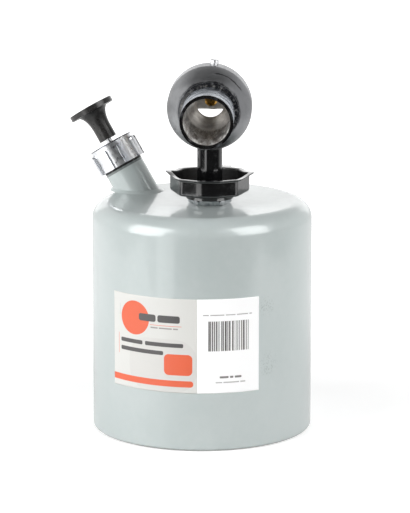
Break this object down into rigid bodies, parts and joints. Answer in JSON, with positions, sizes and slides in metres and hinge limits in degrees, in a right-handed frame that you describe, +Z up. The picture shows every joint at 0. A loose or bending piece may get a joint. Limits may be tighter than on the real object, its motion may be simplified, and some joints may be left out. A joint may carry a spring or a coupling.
{
  "type": "petrol blowlamp",
  "caption": "Hand blowlamp: round petrol tank with slanting pump in the filler neck, preheating cup, burner head with bell shroud, regulator knob and rear handle.",
  "frame": {"origin": "centre of the tank's foot, on the plane it stands on", "axes": "+Z up; the burner fires along -Y; the handle is on +Y; the pump leans to -X"},
  "size_m": [0.1567, 0.1949, 0.2379],
  "materials": {
    "tank_paint": "semi-gloss grey paint",
    "cup_enamel": "gloss black paint",
    "label_grey": "semi-gloss paper",
    "label_white": "semi-gloss paper",
    "tube_steel": "drawn zinc-plated steel, heat-darkened rim",
    "bell_steel": "polished",
    "casting": "tumbled plated casting",
    "zinc_steel": "zinc-plated",
    "bright_steel": "ground bright",
    "cap_aluminium": "die-cast and tumbled",
    "brass": "turned",
    "black_plastic": "satin moulded",
    "grip_plastic": "fine-textured moulded",
    "rubber": "satin",
    "leather": "oiled",
    "graphite": "pressed graphite cord",
    "cotton": "twisted cotton",
    "copper": "soft annealed copper"
  },
  "bodies": {
    "root": {"tank_shell": "tank_paint", "tank_bottom": "tank_paint", "filler_neck": "tank_paint", "stem_boss": "tank_paint", "main_label": "label_grey", "side_label": "label_white", "handle_strap": "cup_enamel", "grip_front": "grip_plastic", "grip_back": "grip_plastic", "grip_screws": "zinc_steel", "grip_nuts": "zinc_steel", "preheat_cup": "cup_enamel", "cup_washer": "zinc_steel", "stem_nut": "zinc_steel", "stem_pipe": "cup_enamel", "dip_tube": "brass", "wick": "cotton", "fuel_strainer": "brass", "evaporator_body": "casting", "burner_tube": "tube_steel", "shroud": "bell_steel", "shroud_screw": "zinc_steel", "jet": "brass", "evaporator_plug": "brass", "plug_gasket": "copper", "gland_packing": "graphite", "gland_nut": "brass"},
    "regulator": {"regulator_spindle": "bright_steel", "regulator_knob": "black_plastic", "knob_washer": "zinc_steel", "knob_screw": "zinc_steel"},
    "needle": {"regulator_needle": "bright_steel"},
    "cap_seal": {"cap_gasket": "rubber"},
    "cap": {"filler_cap": "cap_aluminium", "pump_barrel": "brass", "barrel_valve_body": "brass", "valve_spring": "bright_steel"},
    "pump": {"pump_rod": "bright_steel", "piston_cup": "leather", "piston_washers": "zinc_steel", "piston_nut": "zinc_steel", "pump_knob": "black_plastic"},
    "check_valve": {"valve_plunger": "brass", "valve_pad": "rubber"}
  },
  "joints": [
    {"name": "pump_lift", "type": "slide", "parent": "root", "child": "cap_seal", "axis": [-0.4975, 0.1445, 0.8554], "range_m": [0, 0.12]},
    {"name": "cap_turn", "type": "hinge", "parent": "cap_seal", "child": "cap", "pos_m": [-0.0431, 0.0305, 0.1467], "axis": [-0.4975, 0.1445, 0.8554], "range_deg": [0, 1080]},
    {"name": "pump_stroke", "type": "slide", "parent": "cap", "child": "pump", "axis": [-0.4975, 0.1445, 0.8554], "range_m": [0, 0.075]},
    {"name": "check_valve_lift", "type": "slide", "parent": "cap", "child": "check_valve", "axis": [0.4975, -0.1445, -0.8554], "range_m": [0, 0.0015], "stiffness_N_per_m": 60, "springref_m": -0.004, "deforming": ["valve_spring"]},
    {"name": "regulator_turn", "type": "hinge", "parent": "root", "child": "regulator", "pos_m": [0.00525, 0, 0.2085], "axis": [0, 1, 0], "range_deg": [0, 540]},
    {"name": "needle_travel", "type": "slide", "parent": "root", "child": "needle", "axis": [0, 1, 0], "range_m": [0, 0.0015]}
  ],
  "couplings": [
    {"joint": "needle_travel", "follows": "regulator_turn", "m_per_rad": 0.00015915}
  ]
}
